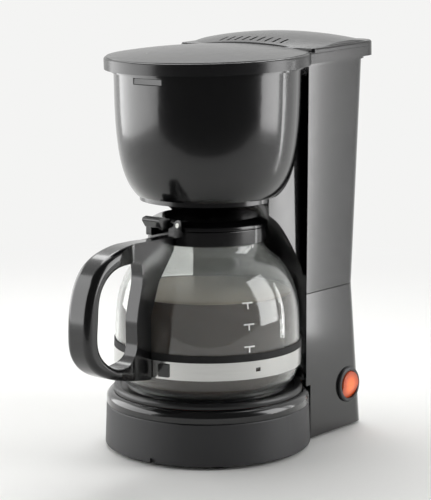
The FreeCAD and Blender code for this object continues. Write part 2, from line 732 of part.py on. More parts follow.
def bucket_outer(grow):
    """Outer form of the bucket: a short foot, a step and the swelling side, grown by a gap."""
    side = moved_side(BUCKET_SIDE, -grow)
    foot_r, step = BUCKET_FOOT_R + grow, BUCKET_BOTTOM + 3.0
    low = BUCKET_BOTTOM - grow
    inside = [(0, side[-1][1]), (0, low), (foot_r, low), (foot_r, step), (side[0][0] - 0.6, step)]
    return turned_smooth(side, inside)


def make_brew_bucket():
    """Tapered bucket that hangs over the carafe, with a ledge inside and a finger recess under the lid."""
    side = moved_side(BUCKET_SIDE, WALL)
    side[-1] = (side[-1][0], BUCKET_HIGH + 1)
    base = BUCKET_BOTTOM + WALL
    inner = turned_smooth(side, [(0, BUCKET_HIGH + 1), (0, base), (BUCKET_FOOT_R - WALL, base)])
    bucket = bucket_outer(0).cut(inner).common(below_rim())
    ledge = pipe_z(BUCKET_TOP_R - WALL / 2, BUCKET_TOP_R - 7.0, BASKET_SEAT - 3.0, BASKET_SEAT)
    taper = Part.makeCone(BUCKET_TOP_R - 5.2, BUCKET_TOP_R - 7.0, 3.0, vec(0, 0, BASKET_SEAT - 3.0))
    bucket = bucket.fuse(ledge.cut(taper).common(bucket_outer(-0.4)))
    bucket = bucket.cut(drum(FUNNEL_HOLE_R, BUCKET_BOTTOM - 1, BUCKET_BOTTOM + 2 * WALL))
    recess_half, recess_height, recess_deep = 11.0, 4.0, 1.2
    recess_top = min(LID_SKIRT_BOTTOM, BUCKET_TOP - FRAME_LIP_HEIGHT) - 0.6
    recess = side_plate([
        (-BUCKET_TOP_R - 2, recess_top, 0), (-BUCKET_TOP_R - 2, recess_top - recess_height, 0),
        (-BUCKET_TOP_R + recess_deep + 0.6, recess_top - recess_height, 0.5),
        (-BUCKET_TOP_R + recess_deep + 0.6, recess_top, 0.5),
    ], -recess_half, recess_half)
    return bucket.cut(recess)


BASKET_FLANGE_R = BUCKET_TOP_R - 4.6
BASKET_TOP_R = BUCKET_TOP_R - 7.0 - CLEAR
BASKET_FLOOR = 168.0
BASKET_FLOOR_R = 32.0
BASKET_WALL = 1.6
SPOUT_R = 10.5
SPOUT_LOW = BUCKET_BOTTOM + 1.0
SEAT_R = 4.5


def make_filter_basket():
    """Removable cone basket with ribs that hold the paper off its wall and a spout for the drip valve."""
    basket = turned([
        (SEAT_R, BASKET_FLOOR, 0),
        (BASKET_FLOOR_R - BASKET_WALL, BASKET_FLOOR, 3.0),
        (BASKET_TOP_R - BASKET_WALL, BASKET_SEAT, 0),
        (BASKET_TOP_R - BASKET_WALL, BASKET_SEAT + 2.0, 0),
        (BASKET_FLANGE_R, BASKET_SEAT + 2.0, 0.6),
        (BASKET_FLANGE_R, BASKET_SEAT, 0),
        (BASKET_TOP_R, BASKET_SEAT, 0),
        (BASKET_FLOOR_R, BASKET_FLOOR - BASKET_WALL, 3.0),
        (SPOUT_R, BASKET_FLOOR - BASKET_WALL, 0),
        (SPOUT_R, SPOUT_LOW, 0.5),
        (SPOUT_R - BASKET_WALL, SPOUT_LOW, 0),
        (SPOUT_R - BASKET_WALL, BASKET_FLOOR - 2 * BASKET_WALL, 0),
        (SEAT_R, BASKET_FLOOR - 2 * BASKET_WALL, 0),
    ])
    rib_count, rib_deep, rib_wide = 12, 1.6, 1.4
    rib = side_plate([
        (BASKET_FLOOR_R - BASKET_WALL - rib_deep - 3.0, BASKET_FLOOR - 0.4, 0),
        (BASKET_FLOOR_R - BASKET_WALL / 2, BASKET_FLOOR - 0.4, 0),
        (BASKET_TOP_R - BASKET_WALL / 2 - 2.0, BASKET_SEAT - 8.0, 0),
        (BASKET_TOP_R - BASKET_WALL - rib_deep - 3.0, BASKET_SEAT - 10.0, 0),
    ], -rib_wide / 2, rib_wide / 2)
    inside = turned([
        (0, BASKET_FLOOR - 0.5, 0),
        (BASKET_FLOOR_R - BASKET_WALL / 2, BASKET_FLOOR - 0.5, 0),
        (BASKET_TOP_R - BASKET_WALL / 2, BASKET_SEAT, 0),
        (0, BASKET_SEAT, 0),
    ])
    rib = rib.common(inside)
    for n in range(rib_count):
        turned_rib = rib.copy()
        turned_rib.rotate(ORIGIN, Z_AXIS, 360.0 * n / rib_count)
        basket = basket.fuse(turned_rib)
    return basket.removeSplitter()


CAGE_R = 11.0
CAGE_TOP = 184.0
STEM_R = 2.4
SEAL_R = 7.0
VALVE_LIFT = 3.0
STEM_FOOT_LOW = BUCKET_BOTTOM - 1.2
SEAL_THICK = 1.6
SPRING_WIRE = 0.9
SPRING_R = 4.2
SPRING_TURNS = 4


def make_valve_cage():
    """Slotted dome over the drip valve that guides its stem."""
    cage = pipe_z(CAGE_R, CAGE_R - BASKET_WALL, BASKET_FLOOR, CAGE_TOP)
    cage = cage.fuse(pipe_z(CAGE_R, STEM_R + 0.4, CAGE_TOP - BASKET_WALL, CAGE_TOP))
    slot_count, slot_half = 6, 1.8
    for n in range(slot_count):
        slot = block(-slot_half, slot_half, 0, CAGE_R + 1, BASKET_FLOOR + 2.0, CAGE_TOP - 4.0)
        slot.rotate(ORIGIN, Z_AXIS, 360.0 * n / slot_count)
        cage = cage.cut(slot)
    return cage


def make_valve_stem():
    """Stem with a push button below, pressed up by the carafe, and a collar for the spring."""
    return turned([
        (0, STEM_FOOT_LOW, 0),
        (6.5, STEM_FOOT_LOW, 1.0),
        (6.5, STEM_FOOT_LOW + 3.0, 0),
        (STEM_R, STEM_FOOT_LOW + 5.0, 0),
        (STEM_R, BASKET_FLOOR + SEAL_THICK + 0.05, 0),
        (SEAL_R - 1.0, BASKET_FLOOR + SEAL_THICK + 0.05, 0),
        (SEAL_R - 1.0, BASKET_FLOOR + SEAL_THICK + 1.2, 0),
        (STEM_R, BASKET_FLOOR + SEAL_THICK + 1.2, 0),
        (STEM_R, CAGE_TOP + 2.0, 0),
        (0, CAGE_TOP + 2.0, 0),
    ])


def make_valve_seal():
    """Silicone washer on the stem that closes the basket's drain hole."""
    return pipe_z(SEAL_R, STEM_R + PUSH, BASKET_FLOOR + 0.05, BASKET_FLOOR + SEAL_THICK)


def make_valve_spring():
    """Coil spring between the stem's collar and the cage."""
    low = BASKET_FLOOR + SEAL_THICK + 1.2 + SPRING_WIRE / 2 + 0.1
    high = CAGE_TOP - BASKET_WALL - SPRING_WIRE / 2 - 0.1
    pitch = (high - low) / SPRING_TURNS
    gap = pitch - SPRING_WIRE
    print(f"valve spring: pitch {pitch:.2f} mm, gap between turns {gap:.2f} mm")
    helix = Part.makeHelix(pitch, high - low, SPRING_R)
    helix.translate(vec(0, 0, low))
    ring = Part.Wire([Part.Circle(vec(SPRING_R, 0, low), vec(0, 1, 0), SPRING_WIRE / 2).toShape()])
    return Part.Wire(helix.Edges).makePipeShell([ring], True, True)


# Top frame and lid


def keyhole(front_r, half, rear, bend, low, high):
    """Round front lobe over the bucket joined to a rounded rear lobe over the tank."""
    lobe = drum(front_r, low, high)
    tail = plan_plate([(-half, 0, 0), (half, 0, 0), (half, rear, bend), (-half, rear, bend)], low, high)
    return lobe.fuse(tail).removeSplitter()


def top_keyhole(grow, low, high):
    return keyhole(
        BUCKET_TOP_R + grow, TOWER_TOP_HALF + grow, TOWER_TOP_REAR + grow, TOWER_CORNER_R + grow, low, high,
    )


def make_top_frame():
    """Collar that joins the bucket's rim to the tank's rim and carries the lid."""
    plate = top_keyhole(FRAME_LIP, BUCKET_TOP, FRAME_TOP)
    lip = top_keyhole(FRAME_LIP, BUCKET_TOP - FRAME_LIP_HEIGHT, BUCKET_TOP)
    lip = lip.cut(top_keyhole(SEAM, BUCKET_TOP - FRAME_LIP_HEIGHT - 1, BUCKET_TOP))
    frame = plate.fuse(lip)
    frame = frame.cut(drum(BUCKET_TOP_R - 4.2, BUCKET_TOP - 1, FRAME_TOP + 1))
    tank_mouth = plan_plate(tower_corners(TOWER_TOP_Z, 2 * WALL), BUCKET_TOP - 1, FRAME_TOP + 1)
    tank_mouth = tank_mouth.cut(drum(BAY_R + 2 * WALL, BUCKET_TOP - 2, FRAME_TOP + 2))
    frame = frame.cut(tank_mouth)
    gap_start = TOWER_TOP_REAR - WALL / 2
    hinge_gap = block(-EAR_OUTER - 1, EAR_OUTER + 1, gap_start, gap_start + 20, 200, FRAME_TOP + 1)
    return tilted(frame.cut(hinge_gap).removeSplitter())


LID_HALF = TOWER_TOP_HALF + LID_OVERHANG
LID_REAR = TOWER_TOP_REAR + LID_OVERHANG + 2.0
LID_BEND = TOWER_CORNER_R + 2.0


REAR_MIDDLE = (LID_REAR + LID_STEP_Y) / 2
REAR_HALF_LENGTH = (LID_REAR - LID_STEP_Y) / 2
REAR_BRIM = LID_EDGE_Z + LID_STEP
CROWN = OVERALL_HEIGHT - (REAR_MIDDLE + LID_FRONT_R) * RISE    # top of the rear lobe before the tilt


def cap(across, along, middle_y, brim, rise):
    """A shallow crown: a ball stretched along Y that rises from the brim over an oval."""
    ball_r = (across ** 2 + rise ** 2) / (2 * rise)
    ball = Part.makeSphere(ball_r)
    stretch = FreeCAD.Matrix()
    stretch.scale(1.0, along / across, 1.0)
    ball = ball.transformGeometry(stretch)
    ball.translate(vec(0, middle_y, brim + rise - ball_r))
    return ball


def top_edges(shape, z):
    return [e for e in shape.Edges if abs(e.BoundBox.ZMin - z) < 1e-4 and abs(e.BoundBox.ZMax - z) < 1e-4]


def rear_lobe(inset, low, high):
    half, rear, front = LID_HALF - inset, LID_REAR - inset, LID_STEP_Y + inset
    bend = LID_BEND - inset
    corners = [(-half, front, 2), (half, front, 2), (half, rear, bend), (-half, rear, bend)]
    return plan_plate(corners, low, high)


def lid_block(inset, drop, low, edge_round):
    """The lid's outer form, or its hollow: a round crowned front lobe and a higher rear lobe."""
    brim, rear_brim = LID_EDGE_Z - drop, REAR_BRIM - drop
    form = keyhole(LID_FRONT_R - inset, LID_HALF - inset, LID_REAR - inset, LID_BEND - inset, low, brim)
    rear = rear_lobe(inset, brim - 1.0, rear_brim)
    if edge_round > 0:
        form = form.makeFillet(edge_round, top_edges(form, brim))
        rear = rear.makeFillet(edge_round, top_edges(rear, rear_brim))
    crown_r = LID_FRONT_R - inset - edge_round
    front_cap = cap(LID_FRONT_R + 1, LID_FRONT_R + 1, 0, brim, LID_CROWN)
    form = form.fuse(drum(crown_r, brim - 1.0, CROWN + 5).common(front_cap))
    rear_cap = cap(1.15 * LID_HALF, 1.15 * REAR_HALF_LENGTH, REAR_MIDDLE, rear_brim, CROWN - REAR_BRIM)
    rear_crown = rear_lobe(inset + edge_round, rear_brim - 1.0, CROWN + 5).common(rear_cap)
    return form.fuse(rear).fuse(rear_crown)


def make_lid():
    """One crowned lid over bucket and tank with a skirt all round, cut away at the hinge."""
    lid = lid_block(0, 0, LID_SKIRT_BOTTOM, LID_EDGE_ROUND)
    lid = lid.cut(lid_block(LID_WALL, LID_WALL, LID_SKIRT_BOTTOM - 1, 0))
    knuckle_gap = EAR_OUTER + 13.0
    low, high = LID_SKIRT_BOTTOM - 1, LID_EDGE_Z - LID_WALL
    lid = lid.cut(block(-knuckle_gap, knuckle_gap, TOWER_TOP_REAR - 4.0, LID_REAR + 5, low, high))
    knuckle_inner = EAR_INNER - CLEAR
    for side in (1, -1):
        left, right = sorted((side * (knuckle_inner - 9.0), side * knuckle_inner))
        arm = side_plate([
            (HINGE_Y - EAR_R + 0.6, HINGE_Z, 0), (HINGE_Y + EAR_R - 0.6, HINGE_Z, 0),
            (LID_REAR - 0.4, LID_EDGE_Z - LID_WALL / 2, 0),
            (HINGE_Y - EAR_R + 0.6, LID_EDGE_Z - LID_WALL / 2, 0),
        ], left, right)
        knuckle = arm.fuse(rod_x(EAR_R - 0.6, left, right, HINGE_Y, HINGE_Z))
        lid = lid.fuse(knuckle)
        lid = lid.cut(rod_x(HINGE_PIN_R + 0.05, left - 1, right + 1, HINGE_Y, HINGE_Z))
    slot_count, slot_step, slot_width, slot_length = 9, 6.0, 1.6, 9.0
    for n in range(slot_count):
        x = (n - (slot_count - 1) / 2) * slot_step
        left, right = x - slot_width / 2, x + slot_width / 2
        front, rear = VENT_Y - slot_length / 2, VENT_Y + slot_length / 2
        corners = [(left, front, 0.7), (right, front, 0.7), (right, rear, 0.7), (left, rear, 0.7)]
        lid = lid.cut(plan_plate(corners, LID_EDGE_Z, CROWN + 5))
    return tilted(lid)


VENT_Y = LID_STEP_Y + 9.0


def make_lid_hinge_pin():
    return tilted(rod_x(HINGE_PIN_R, -EAR_OUTER - 1.5, EAR_OUTER + 1.5, HINGE_Y, HINGE_Z))


SPREADER_R = 30.0
SPREADER_LOW = FRAME_TOP + 0.5


def make_lid_spreader():
    """Shower tray under the lid: it catches the riser's water and drips it over the basket."""
    tray = plan_plate([
        (-SPREADER_R, -SPREADER_R + 8, 18), (SPREADER_R, -SPREADER_R + 8, 18),
        (SPREADER_R, 62.0, 8), (RISER_X + 10, 84.0, 7), (RISER_X - 10, 84.0, 7), (-SPREADER_R, 62.0, 8),
    ], SPREADER_LOW, CROWN)
    tray = tray.common(lid_block(LID_WALL, LID_WALL + 0.1, LID_SKIRT_BOTTOM, 0))
    pocket = plan_plate([
        (-SPREADER_R + 2, -SPREADER_R + 10, 16), (SPREADER_R - 2, -SPREADER_R + 10, 16),
        (SPREADER_R - 2, 61.0, 7), (RISER_X + 8.5, 82.0, 6), (RISER_X - 8.5, 82.0, 6),
        (-SPREADER_R + 2, 61.0, 7),
    ], SPREADER_LOW + 2.0, CROWN)
    tray = tray.cut(pocket)
    tray = tray.cut(drum(TUBE_R + 2.0, SPREADER_LOW - 1, SPREADER_LOW + 3, RISER_X, TUBE_Y))
    hole_r = 1.8
    for ring_r, count in ((0.0, 1), (9.0, 6), (17.0, 10)):
        for n in range(count):
            turn = 2 * math.pi * n / count
            x, y = ring_r * math.sin(turn), ring_r * math.cos(turn)
            hole = drum(hole_r, SPREADER_LOW - 1, SPREADER_LOW + 3, x, y)
            tray = tray.cut(hole)
    return tilted(tray)


# Switch and cord gland

ROCKER_PIVOT = 0.2            # on the wall's face
ROCKER_FACE = 2.8
BEZEL_BORE_R = ROCKER_R + CLEAR


def make_switch_bezel():
    """Round frame of the rocker switch, clipped into the side wall."""
    flange = Part.Face(rounded_wire([
        (BEZEL_BORE_R, 0.02, 0), (SWITCH_FLANGE_R, 0.02, 0),
        (SWITCH_FLANGE_R, 2.0, 1.4), (BEZEL_BORE_R, 2.0, 0),
    ], lambda r, x: vec(x, r, 0))).revolve(ORIGIN, vec(1, 0, 0), 360)
    sleeve = rod_x(SWITCH_HOLE_R - 0.05, -8.0, 0.5, 0, 0).cut(rod_x(BEZEL_BORE_R, -9.0, 2.0, 0, 0))
    return at_switch(flange.fuse(sleeve).cut(rocker_pin_rod(PUSH)))


def rocker_pin_rod(grow):
    """Pivot pin of the rocker, or the hole for it in the frame."""
    reach = SWITCH_HOLE_R - CLEAR + grow
    return rod_y(ROCKER_PIN_R + grow, -reach, reach, ROCKER_PIVOT, 0)


def make_rocker_pin():
    return at_switch(rocker_pin_rod(0))


def make_switch_rocker():
    """Lit rocker with a shallow ridge: its round edge clears the frame, and it rests tipped on."""
    back, front = -3.0, 3.6
    edge_back = math.sqrt(ROCKER_R ** 2 - back ** 2)
    edge_front = math.sqrt(ROCKER_R ** 2 - front ** 2)
    rim = Part.Arc(vec(back, edge_back, 0), vec(0, ROCKER_R, 0), vec(front, edge_front, 0)).toShape()
    chain = [vec(front, edge_front, 0), vec(front, 0, 0), vec(back, 0, 0), vec(back, edge_back, 0)]
    sides = [Part.makeLine(a, b) for a, b in zip(chain, chain[1:])]
    rocker = Part.Face(Part.Wire([rim] + sides)).revolve(ORIGIN, vec(1, 0, 0), 360)
    for side in (1, -1):
        low, high = sorted((-side * 3.0, side * 40.0))
        shave = block(0, 20, -20, 20, low, high)
        shave.rotate(ORIGIN, vec(0, 1, 0), -side * ROCKER_TILT)
        shave.translate(vec(ROCKER_FACE - ROCKER_PIVOT, 0, 0))
        rocker = rocker.cut(shave)
    rocker = rocker.cut(rod_y(ROCKER_PIN_R + PUSH, -2 * ROCKER_R, 2 * ROCKER_R, 0, 0))
    rocker.rotate(ORIGIN, vec(0, 1, 0), ROCKER_TILT)
    rocker.translate(vec(ROCKER_PIVOT, 0, 0))
    return at_switch(rocker)


def make_switch_body():
    """Contact block behind the rocker with three spade terminals."""
    body_front, body_rear = -8.0, -20.0
    body = block(body_rear, body_front, -6.5, 6.5, -9.0, 9.0)
    for z in (-6.0, 0.0, 6.0):
        body = body.fuse(block(body_rear - 7.0, body_rear + 1, -2.4, 2.4, z - 0.4, z + 0.4))
    return at_switch(body)


def make_cord_gland():
    """Bush in the rear wall where the mains lead comes in."""
    wall = rear_slope_wall(GLAND_Z)
    gland = rod_y(GLAND_R - 0.05, wall - 7.0, wall + 1.0, GLAND_X, GLAND_Z)
    gland = gland.fuse(rod_y(GLAND_R + 2.0, wall + 0.9, wall + 3.0, GLAND_X, GLAND_Z))
    gland = gland.fuse(rod_y(GLAND_R + 1.4, wall - 7.0, wall - WALL - 1.4, GLAND_X, GLAND_Z))
    return gland.cut(rod_y(CORD_BORE_R, wall - 8.0, wall + 4.0, GLAND_X, GLAND_Z))


# Carafe


GLASS_FOOT = PLATE_TOP + 0.02


GLASS_SIDE = [
    (GLASS_R - 9.0, GLASS_FOOT), (GLASS_R - 3.4, GLASS_FOOT + 4.4), (GLASS_R - 0.9, GLASS_FOOT + 12.0),
    (GLASS_R, GLASS_FOOT + 24.0), (GLASS_R - 0.3, GLASS_FOOT + 40.0), (GLASS_R - 2.3, GLASS_FOOT + 57.0),
    (GLASS_R - 6.6, GLASS_FOOT + 69.0), (GLASS_R - 12.6, GLASS_FOOT + 78.0),
    (GLASS_NECK_R + 4.4, GLASS_FOOT + 83.6), (GLASS_NECK_R + 0.8, GLASS_FOOT + 87.6),
    (GLASS_NECK_R, GLASS_FOOT + 90.6),
]


def jar_form(shrink, top):
    """Solid jar with a smooth side, or its inside."""
    side = moved_side(GLASS_SIDE, shrink)
    side[-1] = (GLASS_NECK_R - shrink, GLASS_SIDE[-1][1])
    foot = GLASS_FOOT + shrink
    return turned_smooth(side, [(side[-1][0], top), (0, top), (0, foot), (side[0][0], foot)])


def make_carafe_glass():
    """Blown jar: round shoulder, straight neck, flat foot."""
    return jar_form(0, GLASS_TOP).cut(jar_form(GLASS_WALL, GLASS_TOP + 1))


COLLAR_LOW = 132.0


def make_carafe_collar():
    """Plastic ring clamped round the neck, with a pouring lip towards the tower."""
    ring = turned([
        (GLASS_NECK_R + 0.05, COLLAR_LOW, 0),
        (COLLAR_R, COLLAR_LOW, 0.6),
        (COLLAR_R, LID_RIM_Z - SEAM, 0.6),
        (GLASS_NECK_R - 1.0, LID_RIM_Z - SEAM, 0),
        (GLASS_NECK_R - 1.0, GLASS_TOP + 0.05, 0),
        (GLASS_NECK_R + 0.05, GLASS_TOP + 0.05, 0),
    ])
    ear_low = handle_outline()[1][1] + 2 * PUSH + CLEAR
    for side in (1, -1):
        left, right = sorted((side * HINGE_EAR_IN, side * HINGE_EAR_OUT))
        ear = side_plate([
            (-COLLAR_R + 2.0, ear_low, 0), (-COLLAR_R + 2.0, LID_RIM_Z - 2 * SEAM, 0),
            (-COLLAR_R - 1.0, LID_RIM_Z - SEAM, 0), (CARAFE_HINGE_Y + 3.2, CARAFE_HINGE_Z + 3.2, 3.0),
            (CARAFE_HINGE_Y - 3.2, CARAFE_HINGE_Z + 3.2, 3.0), (CARAFE_HINGE_Y - 3.2, ear_low, 1.0),
        ], left, right)
        ring = ring.fuse(ear)
    ring = ring.cut(jar_form(-PUSH, GLASS_TOP + PUSH))
    ring = ring.cut(rod_x(1.5 + 0.03, -20, 20, CARAFE_HINGE_Y, CARAFE_HINGE_Z))
    return ring


HINGE_EAR_IN, HINGE_EAR_OUT = 7.0, 11.0


def handle_outline():
    """Outer side of the handle as (reach from the axis, height), top to bottom."""
    return [
        (HANDLE_REACH - 62.0, 138.0), (HANDLE_REACH - 44.0, 138.2), (HANDLE_REACH - 29.0, 136.0),
        (HANDLE_REACH - 12.0, 127.5), (HANDLE_REACH - 3.0, 112.0), (HANDLE_REACH, 90.0),
        (HANDLE_REACH - 1.5, 77.0), (HANDLE_REACH - 9.0, 67.0), (HANDLE_REACH - 22.0, 60.5),
        (HANDLE_REACH - 42.0, 55.5), (HANDLE_REACH - 58.0, 53.0),
    ]


def handle_gap():
    """Finger gap of the handle as (reach, height)."""
    return [
        (HANDLE_REACH - 51.0, 126.0), (HANDLE_REACH - 38.0, 127.0), (HANDLE_REACH - 24.0, 124.3),
        (HANDLE_REACH - 14.0, 115.0), (HANDLE_REACH - 10.5, 96.0), (HANDLE_REACH - 11.0, 80.0),
        (HANDLE_REACH - 20.0, 69.5), (HANDLE_REACH - 37.0, 65.0), (HANDLE_REACH - 46.0, 70.0),
        (HANDLE_REACH - 48.0, 88.0), (HANDLE_REACH - 52.0, 108.0), (HANDLE_REACH - 53.5, 120.0),
    ]


def curve_through(points, closed):
    spline = Part.BSplineCurve()
    spline.interpolate([vec(-HANDLE_WIDTH / 2, -r, z) for r, z in points], PeriodicFlag=closed)
    return spline.toShape()


def make_carafe_handle():
    """Closed loop handle: a broad grip, a bar along the glass and a tongue under the band."""
    outer_points = handle_outline()
    top, bottom = outer_points[0], outer_points[-1]
    glass_gap = 0.6
    tongue = GLASS_R + glass_gap + BAND_SHEET
    inner = [
        (COLLAR_R + glass_gap, top[1]), (COLLAR_R + glass_gap, COLLAR_LOW - 2.0),
        (GLASS_R - 6.0, 112.0), (tongue, 92.0), (tongue, bottom[1]),
    ]
    flank = -HANDLE_WIDTH / 2
    edges = [curve_through(outer_points, False)]
    chain = [bottom] + list(reversed(inner)) + [top]
    for a, b in zip(chain, chain[1:]):
        edges.append(Part.makeLine(vec(flank, -a[0], a[1]), vec(flank, -b[0], b[1])))
    body = Part.Face(Part.Wire(Part.__sortEdges__(edges))).extrude(vec(HANDLE_WIDTH, 0, 0))
    gap = Part.Face(Part.Wire([curve_through(handle_gap(), True)])).extrude(vec(HANDLE_WIDTH, 0, 0))
    body = body.cut(gap)
    soft = [e for e in body.Edges if is_side_spline(e)]
    outer = [e for e in soft if e.BoundBox.YMin < -HANDLE_REACH + 1]
    body = body.makeFillet(HANDLE_ROUND, outer)
    soft = [e for e in body.Edges if is_side_spline(e) and e.isClosed()]
    body = body.makeFillet(HANDLE_GAP_ROUND, soft)
    body = body.cut(jar_form(-glass_gap, GLASS_TOP)).cut(drum(COLLAR_R + glass_gap, COLLAR_LOW - 3, 160))
    return body.common(handle_plan()).cut(band_screw_rod(PUSH))


def handle_plan():
    """The handle seen from above: slim along the glass, widening to the grip."""
    bar, grip = HANDLE_BAR_WIDTH / 2, HANDLE_WIDTH / 2 + 1.0
    bar_end, grip_start, grip_end = -HANDLE_REACH + 45.0, -HANDLE_REACH + 25.0, -HANDLE_REACH - 5.0
    one_side = [(bar, 0, 0), (bar, bar_end, 12), (grip, grip_start, 12), (grip, grip_end, 0)]
    other_side = [(-x, y, bend) for x, y, bend in reversed(one_side)]
    return plan_plate(one_side + other_side, 0, BUCKET_BOTTOM)


HANDLE_ROUND = 4.2            # outer edges
HANDLE_GAP_ROUND = 3.0        # edges of the finger gap


def is_side_spline(edge):
    """True for the long curved edges on the two flanks of the handle."""
    flat = abs(edge.BoundBox.XMax - edge.BoundBox.XMin) < 0.01
    return flat and isinstance(edge.Curve, Part.BSplineCurve)


BAND_R = GLASS_R + 0.05 + BAND_SHEET


def make_carafe_band():
    """Stainless band round the jar with a small tongue slot."""
    band = pipe_z(BAND_R, GLASS_R + 0.05, BAND_BOTTOM, BAND_BOTTOM + BAND_HEIGHT)
    slot_turn, slot_half, slot_rise = 70.0, 1.6, 1.2
    mid = BAND_BOTTOM + BAND_HEIGHT / 2
    slot = block(-slot_half, slot_half, -BAND_R - 1, -BAND_R + 3, mid - slot_rise, mid + slot_rise)
    slot.rotate(ORIGIN, Z_AXIS, slot_turn)
    return band.cut(slot)


def make_band_cushion():
    """Thin rubber strip round the jar above the steel band."""
    low = BAND_BOTTOM + BAND_HEIGHT + 0.1
    inner = GLASS_R + 3 * PUSH
    return pipe_z(inner + CUSHION_SHEET, inner, low, low + CUSHION_HEIGHT, 0, 0)


def make_band_clip():
    """Black clasp that closes the band beside the handle, on both sides of it."""
    clip_turn, clip_half, clip_thick = 12.5, 3.4, 1.4
    low, high = BAND_BOTTOM + 1.6, BAND_BOTTOM + BAND_HEIGHT - 1.6
    clips = []
    for side in (1, -1):
        clip = block(-clip_half, clip_half, -BAND_R - 4, -BAND_R + 4, low, high)
        clip = clip.common(pipe_z(BAND_R + PUSH + clip_thick, BAND_R + PUSH, low, high))
        clip.rotate(ORIGIN, Z_AXIS, side * clip_turn)
        clips.append(clip)
    return Part.makeCompound(clips)


def band_screw_rod(grow):
    z = BAND_BOTTOM + BAND_HEIGHT / 2
    return rod_y(1.8 + grow, -HANDLE_REACH + 46.0 - grow, -GLASS_R - 0.05 - BAND_SHEET, 0, z)


def make_band_screw():
    """Screw through the handle's foot into the band."""
    return band_screw_rod(0)


LID_DISC_R = COLLAR_R


def make_carafe_lid():
    """Low lid with a drip hole, a pouring gap at the rear, hinge knuckle and thumb lever."""
    plug_r = GLASS_NECK_R - GLASS_WALL - 2 * CLEAR
    lid = turned([
        (4.0, LID_RIM_Z + 2.6, 0),
        (14.0, LID_RIM_Z + 3.6, 4.0),
        (LID_DISC_R - 6.0, LID_RIM_Z + 5.2, 4.0),
        (LID_DISC_R, LID_RIM_Z + 2.0, 2.0),
        (LID_DISC_R, LID_RIM_Z, 0),
        (plug_r, LID_RIM_Z, 0),
        (plug_r, LID_RIM_Z - 3.0, 0.5),
        (plug_r - 1.8, LID_RIM_Z - 3.0, 0.5),
        (plug_r - 1.8, LID_RIM_Z + 1.0, 0),
        (4.0, LID_RIM_Z + 0.6, 0),
    ])
    knuckle_half = HINGE_EAR_IN - CLEAR
    arm = side_plate([
        (-COLLAR_R + 8.0, LID_RIM_Z + 1.5, 0), (-COLLAR_R + 1.0, LID_RIM_Z, 0),
        (CARAFE_HINGE_Y, CARAFE_HINGE_Z - 2.6, 0),
        (CARAFE_HINGE_Y - 9.0, CARAFE_HINGE_Z - 1.0, 1.0), (CARAFE_HINGE_Y - 13.0, CARAFE_HINGE_Z + 4.5, 1.5),
        (CARAFE_HINGE_Y - 8.0, CARAFE_HINGE_Z + 5.5, 1.5), (CARAFE_HINGE_Y + 2.0, CARAFE_HINGE_Z + 2.6, 2.0),
        (-COLLAR_R + 12.0, LID_RIM_Z + 4.6, 0),
    ], -knuckle_half, knuckle_half)
    lid = lid.fuse(arm)
    lid = lid.cut(rod_x(1.5 + 0.05, -20, 20, CARAFE_HINGE_Y, CARAFE_HINGE_Z))
    spout = block(-8, 8, GLASS_NECK_R - 2.0, LID_DISC_R + 2, LID_RIM_Z - 4, LID_RIM_Z + 1.0)
    return lid.cut(spout)


def make_carafe_lid_pin():
    return rod_x(1.5, -HINGE_EAR_OUT, HINGE_EAR_OUT, CARAFE_HINGE_Y, CARAFE_HINGE_Z)


NODES = {
    "base_skirt": make_base_skirt,
    "base_deck": make_base_deck,
    "lower_tower": make_lower_tower,
    "bottom_cover": make_bottom_cover,
    "rubber_feet": make_rubber_feet,
    "bottom_screws": make_bottom_screws,
    "warming_plate": make_warming_plate,
    "plate_seal": make_plate_seal,
    "heater_element": make_heater_element,
    "heater_terminals": make_heater_terminals,
    "heater_strap": make_heater_strap,
    "strap_screws": make_strap_screws,
    "thermostat": make_thermostat,
    "thermal_fuse": make_thermal_fuse,
    "inlet_hose": lambda: make_hose(-1, VALVE_LOW - SEAM),
    "outlet_hose": lambda: make_hose(1, RISER_LOW + NIPPLE_LAP),
    "riser_tube": make_riser_tube,
    "riser_grommet": make_riser_grommet,
    "check_valve_body": make_check_valve_body,
    "check_valve_ball": make_check_valve_ball,
    "reservoir": make_reservoir,
    "brew_neck": make_neck,
    "brew_bucket": make_brew_bucket,
    "top_frame": make_top_frame,
    "lid": make_lid,
    "lid_spreader": make_lid_spreader,
    "lid_hinge_pin": make_lid_hinge_pin,
    "filter_basket": make_filter_basket,
    "valve_cage": make_valve_cage,
    "valve_stem": make_valve_stem,
    "valve_seal": make_valve_seal,
    "valve_spring": make_valve_spring,
    "switch_bezel": make_switch_bezel,
    "switch_rocker": make_switch_rocker,
    "rocker_pin": make_rocker_pin,
    "switch_body": make_switch_body,
    "cord_gland": make_cord_gland,
    "carafe_glass": make_carafe_glass,
    "carafe_collar": make_carafe_collar,
    "carafe_handle": make_carafe_handle,
    "carafe_band": make_carafe_band,
    "band_cushion": make_band_cushion,
    "band_clip": make_band_clip,
    "band_screw": make_band_screw,
    "carafe_lid": make_carafe_lid,
    "carafe_lid_pin": make_carafe_lid_pin,
}

for node_name, make in NODES.items():
    save(node_name, make())
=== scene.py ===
import json
import math

